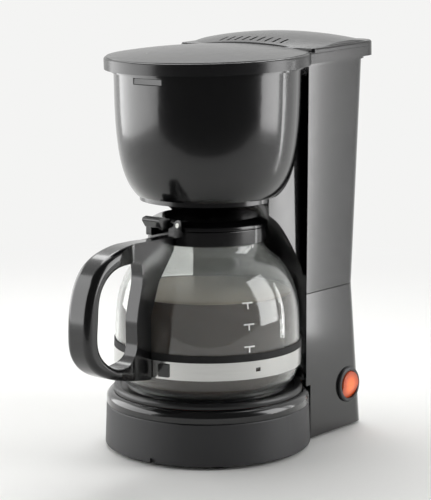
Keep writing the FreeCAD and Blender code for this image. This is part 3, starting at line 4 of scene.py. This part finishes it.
import bmesh
import bpy
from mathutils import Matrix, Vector


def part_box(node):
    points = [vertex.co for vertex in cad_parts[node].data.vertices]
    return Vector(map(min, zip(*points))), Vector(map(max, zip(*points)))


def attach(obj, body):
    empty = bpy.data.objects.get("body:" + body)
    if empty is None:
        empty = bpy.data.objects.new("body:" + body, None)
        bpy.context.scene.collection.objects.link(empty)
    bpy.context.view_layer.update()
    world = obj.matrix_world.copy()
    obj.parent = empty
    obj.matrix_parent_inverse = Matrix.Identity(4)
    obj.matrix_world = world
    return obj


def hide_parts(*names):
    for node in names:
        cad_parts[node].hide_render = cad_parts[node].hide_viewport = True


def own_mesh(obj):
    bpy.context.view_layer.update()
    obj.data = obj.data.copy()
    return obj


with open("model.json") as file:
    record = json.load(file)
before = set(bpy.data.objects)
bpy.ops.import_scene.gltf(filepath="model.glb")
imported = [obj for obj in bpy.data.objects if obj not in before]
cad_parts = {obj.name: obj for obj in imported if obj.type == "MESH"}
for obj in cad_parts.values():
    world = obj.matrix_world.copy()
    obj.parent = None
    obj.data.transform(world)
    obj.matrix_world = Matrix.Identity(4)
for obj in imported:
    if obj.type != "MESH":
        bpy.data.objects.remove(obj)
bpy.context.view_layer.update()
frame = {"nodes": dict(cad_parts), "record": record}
MM = 0.001

# Where the photographer stood: round to the switch side, a little above the lid
CAMERA_AZIMUTH = 39.0
CAMERA_DISTANCE = 1130 * MM
CAMERA_HEIGHT = 317.5 * MM
LOOK_AT = Vector((3 * MM, 4 * MM, 124 * MM))
FRAME_HEIGHT_SEEN = 314 * MM
SENSOR_HEIGHT = 24.0

# The jar and what is in it
COFFEE_LEVEL = 99 * MM
COFFEE_GAP = 0.25 * MM
MIST_TOP = 131 * MM
MIST_GAP = 0.2 * MM
MARK_TURN = 64.5
MARK_HEIGHTS = (74 * MM, 87.6 * MM, 100.4 * MM)
MARK_WIDTH = 7 * MM
MARK_LINE = 0.9 * MM
MARK_STEM = 3.2 * MM
MARK_STEM_DROP = 2 * MM
MARK_SKINS = (0.05 * MM, 0.17 * MM)    # the print's inner and outer face, off the glass

# The lamp in the switch: how far its glow reaches
GLOW_CORE = 2 * MM
GLOW_EDGE = 9 * MM

# The studio round it
PAPER_WHITE = "#f4f4f3"
ROOM_LEVEL = 0.1
SHADOW_REACH = 0.2
SWEEP_WHITE_FROM = 0.75
SWEEP_FRONT = 0.5
SWEEP_BACK = 1.5
SWEEP_BEND = 0.6
SWEEP_TOP = 2.6
SWEEP_HALF = 3.0
MACHINE_MIDDLE = (0, 0.02, 0.13)
TOWER_SIDE = (0.048, 0.06, 0.135)


def linear(hex_colour):
    """An sRGB hex value as linear red, green, blue and alpha."""
    channels = [int(hex_colour[i:i + 2], 16) / 255 for i in (1, 3, 5)]
    return [c / 12.92 if c <= 0.04045 else ((c + 0.055) / 1.055) ** 2.4 for c in channels] + [1.0]


def add_node(tree, kind, settings=None, inputs=None, links=()):
    """Adds one node, sets its properties and sockets, and links (output socket, own input name) pairs to it."""
    node = tree.nodes.new(kind)
    for name, value in (settings or {}).items():
        setattr(node, name, value)
    for name, value in (inputs or {}).items():
        node.inputs[name].default_value = value
    for source, name in links:
        tree.links.new(source, node.inputs[name])
    return node


def new_material(name, colour, roughness, **sockets):
    """A principled material with constants on its own sockets; returns material, tree and shader."""
    material = bpy.data.materials.new(name)
    material.use_nodes = True
    tree = material.node_tree
    tree.nodes.clear()
    inputs = {"Base Color": linear(colour), "Roughness": roughness}
    inputs.update(sockets)
    shader = add_node(tree, "ShaderNodeBsdfPrincipled", inputs=inputs)
    add_node(tree, "ShaderNodeOutputMaterial", links=[(shader.outputs["BSDF"], "Surface")])
    return material, tree, shader


def noise_on_object(tree, size_mm, stretch=(1, 1, 1), detail=2.0):
    """Noise whose grain is size_mm across, read on the piece's own coordinates."""
    place = add_node(tree, "ShaderNodeTexCoord")
    spread = add_node(tree, "ShaderNodeMapping", inputs={"Scale": stretch}, links=[(place.outputs["Object"], "Vector")])
    return add_node(
        tree, "ShaderNodeTexNoise", inputs={"Scale": 1 / (size_mm * MM), "Detail": detail},
        links=[(spread.outputs["Vector"], "Vector")],
    )


def add_bump(tree, shader, height, strength, depth_mm):
    """Lets a texture's height tilt the shading."""
    bump = add_node(
        tree, "ShaderNodeBump", inputs={"Strength": strength, "Distance": depth_mm * MM}, links=[(height, "Height")],
    )
    tree.links.new(bump.outputs["Normal"], shader.inputs["Normal"])


def vary_roughness(tree, shader, value, low, high):
    """Spreads a texture's value over a range of roughness."""
    spread = add_node(
        tree, "ShaderNodeMapRange", inputs={"To Min": low, "To Max": high}, links=[(value, "Value")],
    )
    tree.links.new(spread.outputs["Result"], shader.inputs["Roughness"])


def mottled(name, colour, low, high, size_mm, **sockets):
    """A material whose gloss wanders between two roughnesses over patches of size_mm."""
    material, tree, shader = new_material(name, colour, (low + high) / 2, **sockets)
    patches = noise_on_object(tree, size_mm)
    vary_roughness(tree, shader, patches.outputs["Fac"], low, high)
    return material, tree, shader


def polished_abs():
    """Black ABS from a polished mould: deep black with strong, soft-edged reflections. The coat sharpens them."""
    material, tree, shader = new_material(
        "polished_black_abs", "#080809", 0.2,
        **{"IOR": 1.45, "Coat Weight": 0.6, "Coat Roughness": 0.1, "Coat IOR": 1.45},
    )
    wave = noise_on_object(tree, 9.0)
    vary_roughness(tree, shader, wave.outputs["Fac"], 0.17, 0.25)
    return material


def satin_abs():
    """Black ABS from a spark-eroded mould: an even, fine matte grain; drawn at 0.6 mm so that it shows."""
    material, tree, shader = new_material("spark_eroded_black_abs", "#242426", 0.48, **{"IOR": 1.54})
    grain = noise_on_object(tree, 0.6)
    add_bump(tree, shader, grain.outputs["Fac"], 0.25, 0.05)
    return material


def lid_abs():
    """Black ABS with a soft satin polish: the crown mirrors the room as a wide grey sheen."""
    material, tree, shader = new_material("satin_polished_lid_abs", "#161617", 0.25, **{"IOR": 1.54})
    wave = noise_on_object(tree, 7.0)
    vary_roughness(tree, shader, wave.outputs["Fac"], 0.22, 0.29)
    return material


def inner_plastic():
    """Dark grey polypropylene of the inner pieces: waxy, with a fine mould grain."""
    material, tree, shader = mottled("grey_polypropylene", "#3a3b3c", 0.42, 0.6, 5.0, **{"IOR": 1.49})
    grain = noise_on_object(tree, 0.8)
    add_bump(tree, shader, grain.outputs["Fac"], 0.15, 0.04)
    return material


def rubber():
    """Moulded black rubber: dull, almost no gloss."""
    material, tree, shader = mottled("moulded_black_rubber", "#151515", 0.7, 0.9, 3.0, **{"IOR": 1.52})
    grain = noise_on_object(tree, 0.7)
    add_bump(tree, shader, grain.outputs["Fac"], 0.3, 0.06)
    return material


def clear_silicone():
    """Milky silicone hose: soft and slightly see-through."""
    return mottled("milky_silicone", "#d6d3cb", 0.35, 0.55, 6.0, **{"IOR": 1.41, "Subsurface Weight": 0.2})[0]


def red_silicone():
    """Red silicone seal: soft and matte."""
    return mottled("red_silicone", "#a8321f", 0.45, 0.65, 4.0, **{"IOR": 1.41})[0]


def coated_plate():
    """Non-stick coat on pressed steel: near black with a fine speckled gloss."""
    material, tree, shader = new_material("non_stick_coated_steel", "#141415", 0.33, **{"IOR": 1.5})
    fleck = noise_on_object(tree, 1.2)
    vary_roughness(tree, shader, fleck.outputs["Fac"], 0.26, 0.42)
    return material


def cast_aluminium():
    """Die-cast aluminium: pale and slightly rough."""
    material, tree, shader = new_material("die_cast_aluminium", "#c3c4c6", 0.42, **{"Metallic": 1.0})
    skin = noise_on_object(tree, 1.5)
    add_bump(tree, shader, skin.outputs["Fac"], 0.2, 0.08)
    return material


def brushed_band():
    """Brushed stainless band: fine lines along the band; drawn at 0.5 mm so that they show."""
    material, tree, shader = new_material("brushed_stainless_band", "#c4c4c2", 0.16, **{"Metallic": 1.0})
    lines = noise_on_object(tree, 0.5, stretch=(0.02, 0.02, 1.0))
    vary_roughness(tree, shader, lines.outputs["Fac"], 0.1, 0.24)
    return material


def zinc_steel():
    """Zinc-plated steel of screws, strap and pins: bright grey with a faint cloudy bloom."""
    return mottled("zinc_plated_steel", "#b4b5b0", 0.2, 0.42, 1.2, **{"Metallic": 1.0})[0]


def brass():
    """Bare brass of the spade tabs: stamped, a little dulled in patches."""
    return mottled("bare_brass", "#c9a552", 0.22, 0.42, 1.5, **{"Metallic": 1.0})[0]


def jar_glass():
    """Blown borosilicate glass: clear with bright edges and the faintest haze of hard water."""
    return mottled(
        "borosilicate_glass", "#f3f5f3", 0.0, 0.03, 30.0, **{"IOR": 1.47, "Transmission Weight": 0.96},
    )[0]


def brewed_coffee():
    """Black coffee: so dark that it shows brown only where it is thin."""
    return mottled("brewed_coffee", "#33241a", 0.05, 0.14, 25.0, **{"IOR": 1.34})[0]


def coffee_froth():
    """Thin film of fine bubbles on fresh coffee: pale brown and half matte."""
    material, tree, shader = new_material("coffee_froth", "#8f8273", 0.35, **{"IOR": 1.34})
    bubbles = noise_on_object(tree, 2.5)
    vary_roughness(tree, shader, bubbles.outputs["Fac"], 0.25, 0.5)
    return material


def steam_mist():
    """Steam settled on the glass as fine drops: a thin pale veil that lets most light through."""
    material, tree, shader = new_material("settled_steam", "#e3e6e3", 0.6, **{"IOR": 1.33, "Alpha": 0.16})
    drops = noise_on_object(tree, 6.0, detail=4.0)
    veil = add_node(
        tree, "ShaderNodeMapRange", inputs={"To Min": 0.08, "To Max": 0.24}, links=[(drops.outputs["Fac"], "Value")],
    )
    tree.links.new(veil.outputs["Result"], shader.inputs["Alpha"])
    return material


def lit_amber():
    """Tinted polycarbonate over a small glow lamp: orange, brightest in the middle."""
    material, tree, shader = new_material(
        "lit_amber_polycarbonate", "#b8431f", 0.22,
        **{"IOR": 1.58, "Emission Color": linear("#ff8a4a"), "Emission Strength": 0.3},
    )
    low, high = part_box("switch_rocker")
    middle = (Vector(low) + Vector(high)) / 2
    place = add_node(tree, "ShaderNodeTexCoord")
    away = add_node(
        tree, "ShaderNodeVectorMath", {"operation": "DISTANCE"}, inputs={1: middle},
        links=[(place.outputs["Object"], 0)],
    )
    glow = add_node(
        tree, "ShaderNodeMapRange", {"interpolation_type": "SMOOTHSTEP"},
        inputs={"From Min": GLOW_CORE, "From Max": GLOW_EDGE, "To Min": 0.75, "To Max": 0.05},
        links=[(away.outputs["Value"], "Value")],
    )
    tree.links.new(glow.outputs["Result"], shader.inputs["Emission Strength"])
    return material


def white_print():
    """White enamel print fired on the glass."""
    return mottled("white_enamel_print", "#f1f1ee", 0.4, 0.6, 1.0, **{"IOR": 1.5})[0]


FINISHES = {
    "gloss_black": polished_abs(),
    "satin_black": satin_abs(),
    "lid_black": lid_abs(),
    "inner_plastic": inner_plastic(),
    "foot_rubber": rubber(),
    "silicone": clear_silicone(),
    "red_silicone": red_silicone(),
    "coated_plate": coated_plate(),
    "cast_aluminium": cast_aluminium(),
    "steel": brushed_band(),
    "plated_steel": zinc_steel(),
    "brass_tab": brass(),
    "glass": jar_glass(),
    "amber": lit_amber(),
    "clear_tube": clear_silicone(),
}
COFFEE = brewed_coffee()
FROTH = coffee_froth()
MIST = steam_mist()
PRINT = white_print()


def dress_nodes():
    """Every CAD node takes the finish of its slot in the record."""
    for part in frame["record"]["subparts"]:
        node = frame["nodes"][part["node"]]
        node.data.materials.clear()
        node.data.materials.append(FINISHES[part["material_slot"]])


def finish_mesh(name, shape, material, body, smooth=True):
    """Turns a bmesh into a piece that rides on a body."""
    bmesh.ops.recalc_face_normals(shape, faces=shape.faces)
    mesh = bpy.data.meshes.new(name)
    shape.to_mesh(mesh)
    shape.free()
    piece = bpy.data.objects.new(name, mesh)
    bpy.context.scene.collection.objects.link(piece)
    mesh.materials.append(material)
    for face in mesh.polygons:
        face.use_smooth = smooth
    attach(piece, body)


def turned_piece(outline, steps=128):
    """A bmesh spun about the Z axis from an outline of (radius, height) points."""
    shape = bmesh.new()
    points = [shape.verts.new((r, 0, z)) for r, z in outline]
    edges = [shape.edges.new(pair) for pair in zip(points, points[1:])]
    bmesh.ops.spin(
        shape, geom=points + edges, cent=(0, 0, 0), axis=(0, 0, 1), angle=math.tau, steps=steps, use_merge=True,
    )
    bmesh.ops.remove_doubles(shape, verts=shape.verts, dist=1e-6)
    return shape


def jar_side(way):
    """The jar's outside (way 1) or inside (way -1) as (height, radius), read from the faces that look that way."""
    rows = {}
    for spot in frame["nodes"]["carafe_glass"].data.vertices:
        if way * spot.normal.xy.dot(spot.co.xy) > 0.1 * spot.co.xy.length:
            rows[round(spot.co.z, 5)] = spot.co.xy.length
    return sorted(rows.items())


def radius_at(rows, z):
    """Radius of the jar at height z, between the two nearest rows."""
    for (low, low_r), (high, high_r) in zip(rows, rows[1:]):
        if low <= z <= high:
            return low_r + (high_r - low_r) * (z - low) / (high - low)
    return rows[0][1] if z < rows[0][0] else rows[-1][1]


def jar_lining(low, high, gap, count=40):
    """Outline (radius, height) that follows the inside of the jar from low to high, gap away from it."""
    rows = jar_side(-1)
    heights = [low + (high - low) * n / count for n in range(count + 1)]
    return [(radius_at(rows, z) - gap, z) for z in heights]


def make_coffee():
    """Brewed coffee up to a cup mark, with a thin rim where it creeps up the glass."""
    base = jar_side(-1)[0][0] + COFFEE_GAP
    wall = jar_lining(base, COFFEE_LEVEL, COFFEE_GAP)
    rim_r, rim_z = wall[-1]
    creep = 0.7 * MM
    outline = [(0, base)] + wall + [(rim_r, rim_z + creep), (rim_r - 1.2 * MM, rim_z), (0, rim_z)]
    finish_mesh("coffee", turned_piece(outline), COFFEE, "carafe")
    film, edge = 0.3 * MM, rim_r - 1.8 * MM
    low, high = rim_z + 0.02 * MM, rim_z + film
    froth = [(0, low), (edge, low), (edge + film, (low + high) / 2), (edge, high), (0, high)]
    finish_mesh("froth", turned_piece(froth), FROTH, "carafe")


def make_mist():
    """Steam settled on the inside of the jar between the coffee and the neck."""
    sheet = jar_lining(COFFEE_LEVEL + 2 * MM, MIST_TOP, MIST_GAP)
    finish_mesh("mist", turned_piece(sheet), MIST, "carafe")


def make_spring():
    """The drip valve's spring: a copy of the CAD coil that rides on the basket, in place of the hidden CAD node."""
    node = frame["nodes"]["valve_spring"]
    coil = bpy.data.objects.new("spring_coil", node.data.copy())
    bpy.context.scene.collection.objects.link(coil)
    coil.matrix_world = node.matrix_world.copy()
    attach(coil, "basket")
    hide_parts("valve_spring")
    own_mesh(coil)


def mark_bar(name, width, height, rise):
    """A printed bar that lies round the jar's outside, MARK_TURN degrees from the front."""
    shape = bmesh.new()
    front = math.radians(MARK_TURN - 90)
    outside = jar_side(1)
    skins = []
    for lift in MARK_SKINS:
        rows = []
        for up in (-0.5, 0, 0.5):
            z = rise + up * height
            reach = radius_at(outside, z) + lift
            turns = [front + side * width / reach for side in (-0.5, -0.25, 0, 0.25, 0.5)]
            rows.append([shape.verts.new((reach * math.cos(t), reach * math.sin(t), z)) for t in turns])
        skins.append(rows)
    for rows in skins:
        for low, high in zip(rows, rows[1:]):
            for n in range(len(low) - 1):
                shape.faces.new((low[n], low[n + 1], high[n + 1], high[n]))
    rims = []
    for rows in skins:
        left, right = [row[0] for row in rows], [row[-1] for row in rows]
        rims.append(rows[0] + right[1:] + rows[-1][-2::-1] + left[-2:0:-1])
    inner, outer = rims
    for n in range(len(inner)):
        m = (n + 1) % len(inner)
        shape.faces.new((inner[n], inner[m], outer[m], outer[n]))
    finish_mesh(name, shape, PRINT, "carafe", smooth=False)


def make_level_marks():
    """Cup marks: a short bar with a stem below it at each level."""
    for n, level in enumerate(MARK_HEIGHTS):
        mark_bar(f"level_bar_{n}", MARK_WIDTH, MARK_LINE, level)
        mark_bar(f"level_stem_{n}", MARK_LINE, MARK_STEM, level - MARK_STEM_DROP)


def seen_ray(tree):
    """1 where the camera, a gloss or glass looks, 0 where light is only gathered."""
    ray = add_node(tree, "ShaderNodeLightPath")
    direct = add_node(
        tree, "ShaderNodeMath", {"operation": "MAXIMUM"},
        links=[(ray.outputs["Is Camera Ray"], 0), (ray.outputs["Is Transmission Ray"], 1)],
    )
    return add_node(
        tree, "ShaderNodeMath", {"operation": "MAXIMUM"},
        links=[(direct.outputs[0], 0), (ray.outputs["Is Glossy Ray"], 1)],
    ).outputs[0]


def sweep_material():
    """Matte paper that takes shadows near the machine and fades to plain white. Seen from its back it is clear."""
    material, tree, shader = new_material("white_paper_sweep", "#ececea", 0.8)
    place = add_node(tree, "ShaderNodeTexCoord")
    reach = add_node(
        tree, "ShaderNodeVectorMath", {"operation": "LENGTH"}, links=[(place.outputs["Object"], "Vector")],
    )
    fade = add_node(
        tree, "ShaderNodeMapRange", {"interpolation_type": "SMOOTHSTEP"},
        inputs={"From Min": SHADOW_REACH, "From Max": SWEEP_WHITE_FROM}, links=[(reach.outputs["Value"], "Value")],
    )
    share = add_node(
        tree, "ShaderNodeMath", {"operation": "MULTIPLY"},
        links=[(seen_ray(tree), 0), (fade.outputs["Result"], 1)],
    )
    white = add_node(tree, "ShaderNodeEmission", inputs={"Color": linear(PAPER_WHITE), "Strength": 1.0})
    mix = add_node(
        tree, "ShaderNodeMixShader",
        links=[(share.outputs[0], "Fac"), (shader.outputs["BSDF"], 1), (white.outputs[0], 2)],
    )
    side = add_node(tree, "ShaderNodeNewGeometry")
    clear = add_node(tree, "ShaderNodeBsdfTransparent")
    one_sided = add_node(
        tree, "ShaderNodeMixShader",
        links=[(side.outputs["Backfacing"], "Fac"), (mix.outputs[0], 1), (clear.outputs[0], 2)],
    )
    tree.links.new(one_sided.outputs[0], tree.nodes["Material Output"].inputs["Surface"])
    return material


def make_sweep():
    """Paper sweep: a floor that curves up behind the machine, square to the camera."""
    profile = [(-SWEEP_FRONT, 0.0), (SWEEP_BACK - SWEEP_BEND, 0.0)]
    for n in range(1, 17):
        turn = math.radians(90 * n / 16)
        profile.append((SWEEP_BACK - SWEEP_BEND * (1 - math.sin(turn)), SWEEP_BEND * (1 - math.cos(turn))))
    profile.append((SWEEP_BACK, SWEEP_TOP))
    around = math.radians(CAMERA_AZIMUTH)
    away = Vector((-math.sin(around), math.cos(around), 0))
    across = Vector((math.cos(around), math.sin(around), 0))
    shape = bmesh.new()
    rows = []
    for depth, height in profile:
        middle = away * depth + Vector((0, 0, height))
        rows.append([shape.verts.new(middle + across * side * SWEEP_HALF) for side in (-1, 1)])
    for (a, b), (c, d) in zip(rows, rows[1:]):
        shape.faces.new((a, b, d, c))
    mesh = bpy.data.meshes.new("paper_sweep")
    shape.to_mesh(mesh)
    shape.free()
    sweep = bpy.data.objects.new("paper_sweep", mesh)
    bpy.context.scene.collection.objects.link(sweep)
    for face in mesh.polygons:
        face.use_smooth = True
    mesh.materials.append(sweep_material())


def make_world():
    """Studio: a dim even light. The camera and glass see white paper all round, gloss sees it behind the machine."""
    world = bpy.data.worlds.new("studio")
    bpy.context.scene.world = world
    world.use_nodes = True
    tree = world.node_tree
    tree.nodes.clear()
    around = math.radians(CAMERA_AZIMUTH)
    ray = add_node(tree, "ShaderNodeLightPath")
    place = add_node(tree, "ShaderNodeTexCoord")
    facing = add_node(
        tree, "ShaderNodeVectorMath", {"operation": "DOT_PRODUCT"},
        inputs={1: (-math.sin(around), math.cos(around), 0)}, links=[(place.outputs["Generated"], 0)],
    )
    behind = add_node(
        tree, "ShaderNodeMapRange", {"interpolation_type": "SMOOTHSTEP"},
        inputs={"From Min": -0.1, "From Max": 0.3}, links=[(facing.outputs["Value"], "Value")],
    )
    gloss = add_node(
        tree, "ShaderNodeMath", {"operation": "MULTIPLY"},
        links=[(ray.outputs["Is Glossy Ray"], 0), (behind.outputs["Result"], 1)],
    )
    direct = add_node(
        tree, "ShaderNodeMath", {"operation": "MAXIMUM"},
        links=[(ray.outputs["Is Camera Ray"], 0), (ray.outputs["Is Transmission Ray"], 1)],
    )
    seen = add_node(
        tree, "ShaderNodeMath", {"operation": "MAXIMUM"}, links=[(direct.outputs[0], 0), (gloss.outputs[0], 1)],
    )
    soft = add_node(tree, "ShaderNodeBackground", inputs={"Color": linear("#ffffff"), "Strength": ROOM_LEVEL})
    white = add_node(tree, "ShaderNodeBackground", inputs={"Color": linear(PAPER_WHITE), "Strength": 1.0})
    mix = add_node(
        tree, "ShaderNodeMixShader",
        links=[(seen.outputs[0], "Fac"), (soft.outputs[0], 1), (white.outputs[0], 2)],
    )
    add_node(tree, "ShaderNodeOutputWorld", links=[(mix.outputs[0], "Surface")])


def add_softbox(name, azimuth, elevation, distance, width, height, power, aim=MACHINE_MIDDLE):
    """A rectangular lamp, in metres and watts, that faces the point aim."""
    lamp = bpy.data.lights.new(name, "AREA")
    lamp.shape = "RECTANGLE"
    lamp.size = width
    lamp.size_y = height
    lamp.energy = power
    holder = bpy.data.objects.new(name, lamp)
    bpy.context.scene.collection.objects.link(holder)
    around, up = math.radians(azimuth), math.radians(elevation)
    way = Vector((math.sin(around) * math.cos(up), -math.cos(around) * math.cos(up), math.sin(up)))
    holder.location = Vector(aim) + way * distance
    holder.rotation_euler = (-way).to_track_quat("-Z", "Y").to_euler()
    return holder


def make_lights():
    """Softboxes left and right for the sheens on the bucket and above for the lid, and a strip for the tower."""
    add_softbox(
        "left_softbox", azimuth=CAMERA_AZIMUTH - 97, elevation=10, distance=0.95, width=1.4, height=1.0, power=14.0,
    )
    add_softbox(
        "right_softbox", azimuth=CAMERA_AZIMUTH + 80, elevation=12, distance=0.95, width=0.5, height=1.0, power=8.0,
    )
    add_softbox(
        "top_softbox", azimuth=CAMERA_AZIMUTH + 180, elevation=62, distance=1.1, width=1.0, height=0.8, power=11.0,
    )
    mirrored = 180 - CAMERA_AZIMUTH
    strip = add_softbox(
        "side_strip", azimuth=mirrored, elevation=0, distance=0.35, width=0.026, height=0.26, power=0.15,
        aim=TOWER_SIDE,
    )
    strip.visible_diffuse = False


def make_camera():
    """A long lens at the photographer's place, framed by the height that the picture shows."""
    camera = bpy.data.cameras.new("camera")
    holder = bpy.data.objects.new("camera", camera)
    bpy.context.scene.collection.objects.link(holder)
    around = math.radians(CAMERA_AZIMUTH)
    holder.location = Vector((
        CAMERA_DISTANCE * math.sin(around), -CAMERA_DISTANCE * math.cos(around), CAMERA_HEIGHT,
    ))
    sight = LOOK_AT - holder.location
    holder.rotation_euler = sight.to_track_quat("-Z", "Y").to_euler()
    camera.sensor_fit = "VERTICAL"
    camera.sensor_height = SENSOR_HEIGHT
    camera.lens = SENSOR_HEIGHT * sight.length / FRAME_HEIGHT_SEEN
    bpy.context.scene.camera = holder


dress_nodes()
make_coffee()
make_mist()
make_level_marks()
make_spring()
make_sweep()
make_world()
make_lights()
make_camera()
bpy.context.scene.view_settings.view_transform = "Standard"
